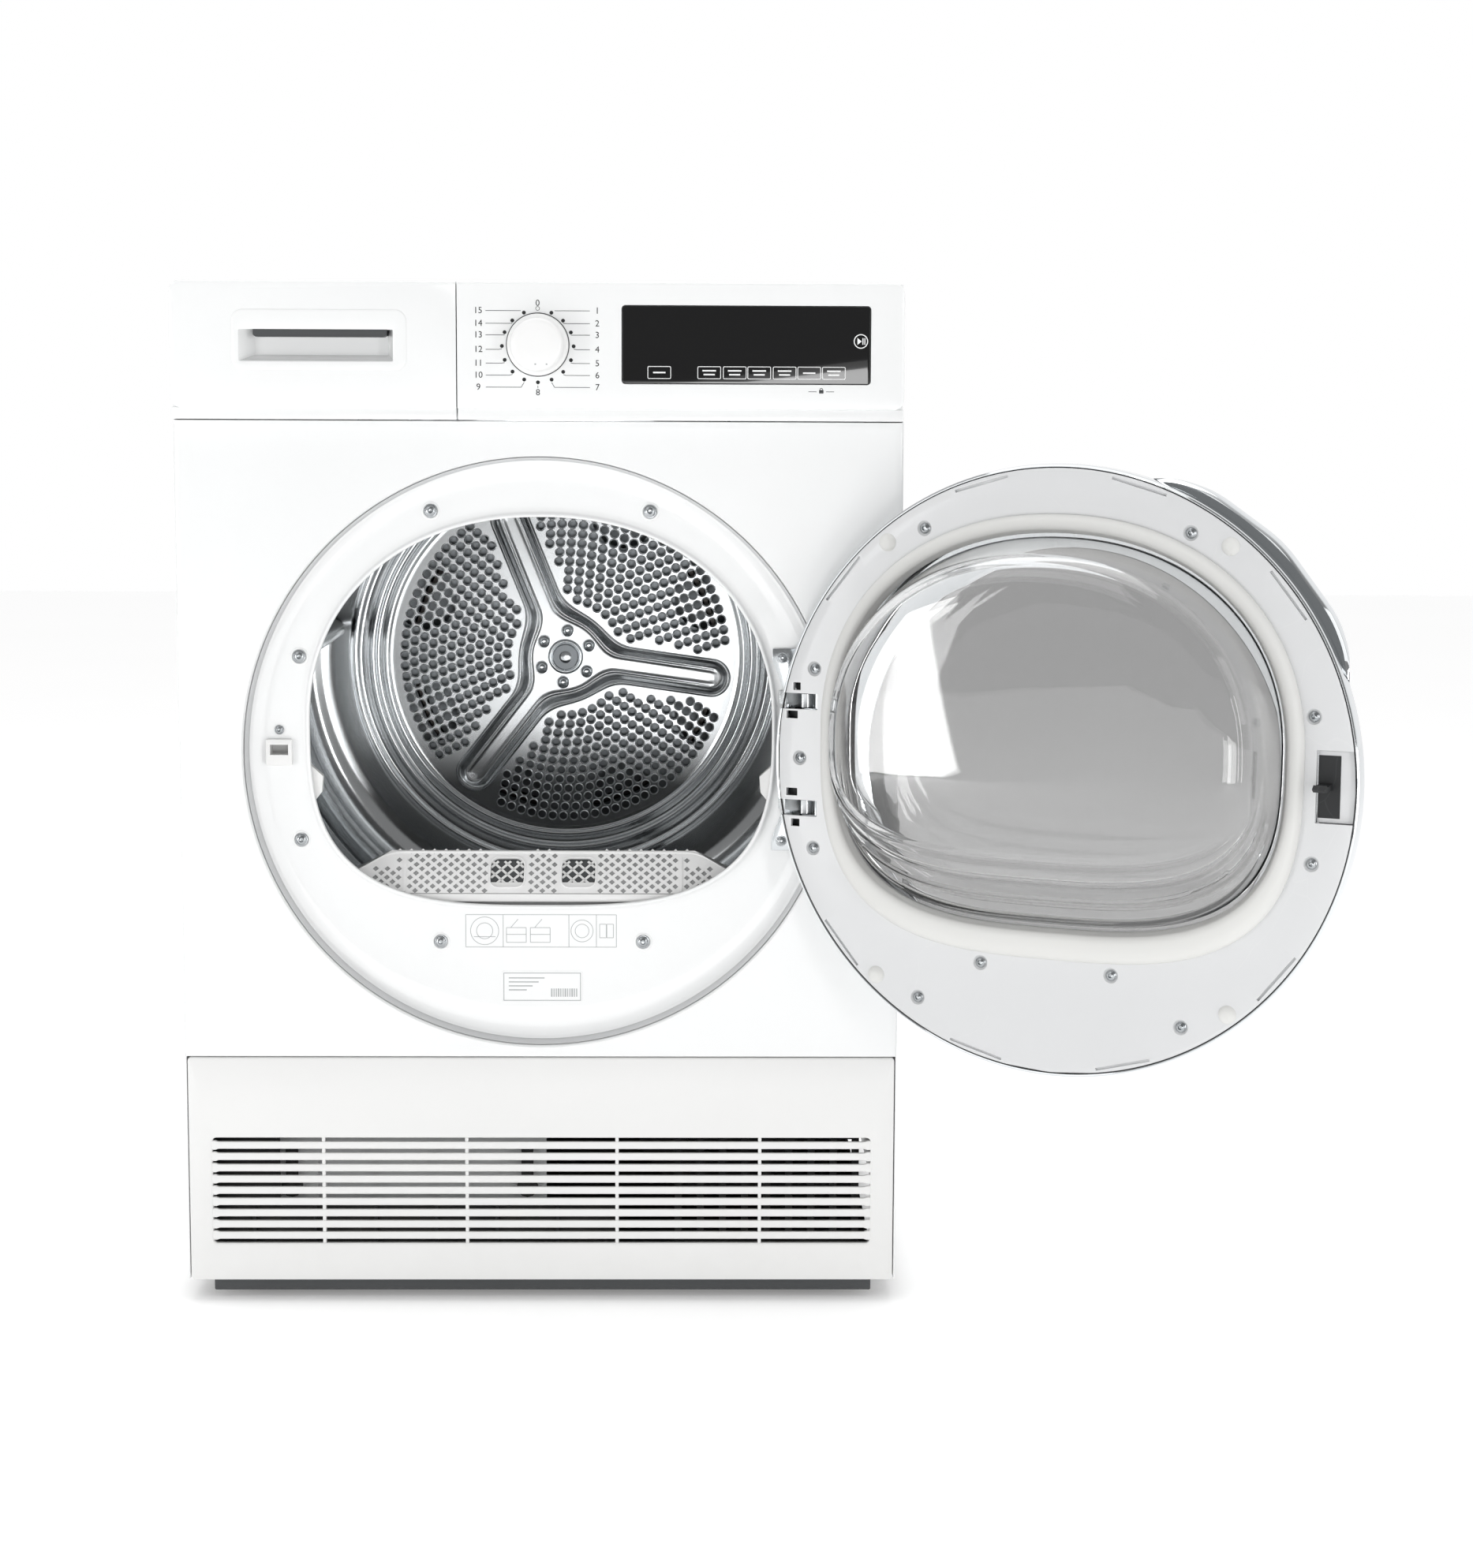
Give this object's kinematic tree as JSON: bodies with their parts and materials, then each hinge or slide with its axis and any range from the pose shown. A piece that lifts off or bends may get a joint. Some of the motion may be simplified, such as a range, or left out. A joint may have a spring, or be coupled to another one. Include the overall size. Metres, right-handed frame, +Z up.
{
  "type": "clothes dryer",
  "caption": "Compact front-loading condenser dryer: white cabinet, round side-hinged door standing open, perforated steel drum, knob and dark display above, louvred kick plate below.",
  "frame": {"origin": "middle of the base pan's flat underside", "axes": "+X to the right seen from the front, +Y from the front into the machine, +Z up"},
  "size_m": [0.9371, 0.8085, 0.85],
  "materials": {
    "white_enamel": "smooth gloss enamel on sheet steel",
    "white_plastic": "moulded, satin gloss",
    "grey_plastic": "light grey moulding, fine texture",
    "dark_plastic": "dark moulding, matt",
    "steel": "stainless, brushed round the drum axis",
    "chrome": "polished",
    "zinc": "zinc-coated sheet, faint spangle",
    "fin_aluminium": "thin fins",
    "seal_rubber": "matt off-white rubber",
    "black_rubber": "matt black rubber",
    "clear_glass": "clear moulded glass",
    "tinted_glass": "near-black glossy pane",
    "felt": "pressed felt",
    "heater_sheath": "heat-stained tube",
    "circuit_board": "coated board"
  },
  "bodies": {
    "cabinet": {"base_pan": "dark_plastic", "side_panel_left": "white_enamel", "side_panel_right": "white_enamel", "worktop": "white_enamel", "rear_panel": "white_enamel", "rear_cover": "zinc", "cord_gland": "black_rubber", "front_panel": "white_enamel", "latch_receptacle": "white_plastic", "console_fascia": "white_plastic", "display_window": "tinted_glass", "control_board": "circuit_board", "tank_shelf": "zinc", "front_bulkhead": "white_plastic", "front_drum_seal": "felt", "rear_drum_seal": "felt", "rear_bulkhead": "zinc", "drum_bearing": "steel", "heating_element": "heater_sheath", "drive_belt": "black_rubber", "motor": "zinc", "warm_air_housing": "dark_plastic", "cooling_housing": "dark_plastic", "idler_arm": "zinc", "condenser": "fin_aluminium", "condenser_cover": "grey_plastic", "condensate_pump": "dark_plastic", "hinge_bracket": "steel"},
    "door": {"door_inner_plate": "grey_plastic", "door_outer_ring": "chrome", "door_window": "tinted_glass", "glass_bowl": "clear_glass", "door_gasket": "seal_rubber", "door_handle": "chrome", "latch_hook": "dark_plastic", "hinge_leaf": "zinc"},
    "drum": {"drum_shell": "steel", "drum_back": "steel", "lifter_1": "grey_plastic", "lifter_2": "grey_plastic", "lifter_3": "grey_plastic", "drum_spider": "zinc"},
    "motor_rotor": {"motor_shaft": "steel", "warm_air_fan": "dark_plastic", "cooling_fan": "dark_plastic"},
    "idler_pulley": {"idler_wheel": "steel"},
    "roller_left": {"front_roller_left": "grey_plastic"},
    "roller_right": {"front_roller_right": "grey_plastic"},
    "knob": {"program_knob": "white_plastic"},
    "tank_drawer": {"tank_front": "white_plastic", "water_tank": "grey_plastic", "tank_lid": "white_plastic"},
    "filter": {"lint_filter": "white_plastic"},
    "kick_flap": {"kick_plate": "white_plastic"},
    "lever_left": {"condenser_lever_left": "dark_plastic"},
    "lever_right": {"condenser_lever_right": "dark_plastic"},
    "foot_a": {"foot_front_left": "black_rubber"},
    "foot_b": {"foot_front_right": "black_rubber"},
    "foot_c": {"foot_rear_left": "black_rubber"},
    "foot_d": {"foot_rear_right": "black_rubber"}
  },
  "joints": [
    {"name": "door_hinge", "type": "hinge", "parent": "cabinet", "child": "door", "pos_m": [0.22, -0.2825, 0.4565], "axis": [0, 0, 1], "range_deg": [-153, 0]},
    {"name": "drum_spin", "type": "hinge", "parent": "cabinet", "child": "drum", "pos_m": [0, 0, 0.491], "axis": [0, 1, 0], "continuous": true},
    {"name": "motor_spin", "type": "hinge", "parent": "cabinet", "child": "motor_rotor", "pos_m": [0.15, 0, 0.1], "axis": [0, 1, 0], "continuous": true},
    {"name": "idler_spin", "type": "hinge", "parent": "cabinet", "child": "idler_pulley", "pos_m": [0.01, 0.14, 0.165], "axis": [0, 1, 0], "continuous": true},
    {"name": "roller_left_spin", "type": "hinge", "parent": "cabinet", "child": "roller_left", "pos_m": [-0.17431, -0.214, 0.24206], "axis": [0, 1, 0], "continuous": true},
    {"name": "roller_right_spin", "type": "hinge", "parent": "cabinet", "child": "roller_right", "pos_m": [0.17431, -0.214, 0.24206], "axis": [0, 1, 0], "continuous": true},
    {"name": "knob_turn", "type": "hinge", "parent": "cabinet", "child": "knob", "pos_m": [0, -0.29, 0.7885], "axis": [0, 1, 0], "continuous": true},
    {"name": "tank_pull", "type": "slide", "parent": "cabinet", "child": "tank_drawer", "axis": [0, -1, 0], "range_m": [0, 0.4]},
    {"name": "filter_lift", "type": "slide", "parent": "cabinet", "child": "filter", "axis": [0, 0, 1], "range_m": [0, 0.13]},
    {"name": "kick_flap_tilt", "type": "hinge", "parent": "cabinet", "child": "kick_flap", "pos_m": [0, -0.272, 0.01], "axis": [1, 0, 0], "range_deg": [0, 80]},
    {"name": "lever_left_turn", "type": "hinge", "parent": "cabinet", "child": "lever_left", "pos_m": [-0.214, -0.239, 0.079], "axis": [0, 1, 0], "range_deg": [-90, 0]},
    {"name": "lever_right_turn", "type": "hinge", "parent": "cabinet", "child": "lever_right", "pos_m": [-0.014, -0.239, 0.079], "axis": [0, 1, 0], "range_deg": [0, 90]},
    {"name": "foot_front_left_screw", "type": "slide", "parent": "cabinet", "child": "foot_a", "axis": [0, 0, -1], "range_m": [0, 0.012]},
    {"name": "foot_front_right_screw", "type": "slide", "parent": "cabinet", "child": "foot_b", "axis": [0, 0, -1], "range_m": [0, 0.012]},
    {"name": "foot_rear_left_screw", "type": "slide", "parent": "cabinet", "child": "foot_c", "axis": [0, 0, -1], "range_m": [0, 0.012]},
    {"name": "foot_rear_right_screw", "type": "slide", "parent": "cabinet", "child": "foot_d", "axis": [0, 0, -1], "range_m": [0, 0.012]}
  ],
  "couplings": [
    {"joint": "motor_spin", "follows": "drum_spin", "ratio": 28.86},
    {"joint": "idler_spin", "follows": "drum_spin", "ratio": 16.35},
    {"joint": "roller_left_spin", "follows": "drum_spin", "ratio": -12.8},
    {"joint": "roller_right_spin", "follows": "drum_spin", "ratio": -12.8}
  ]
}
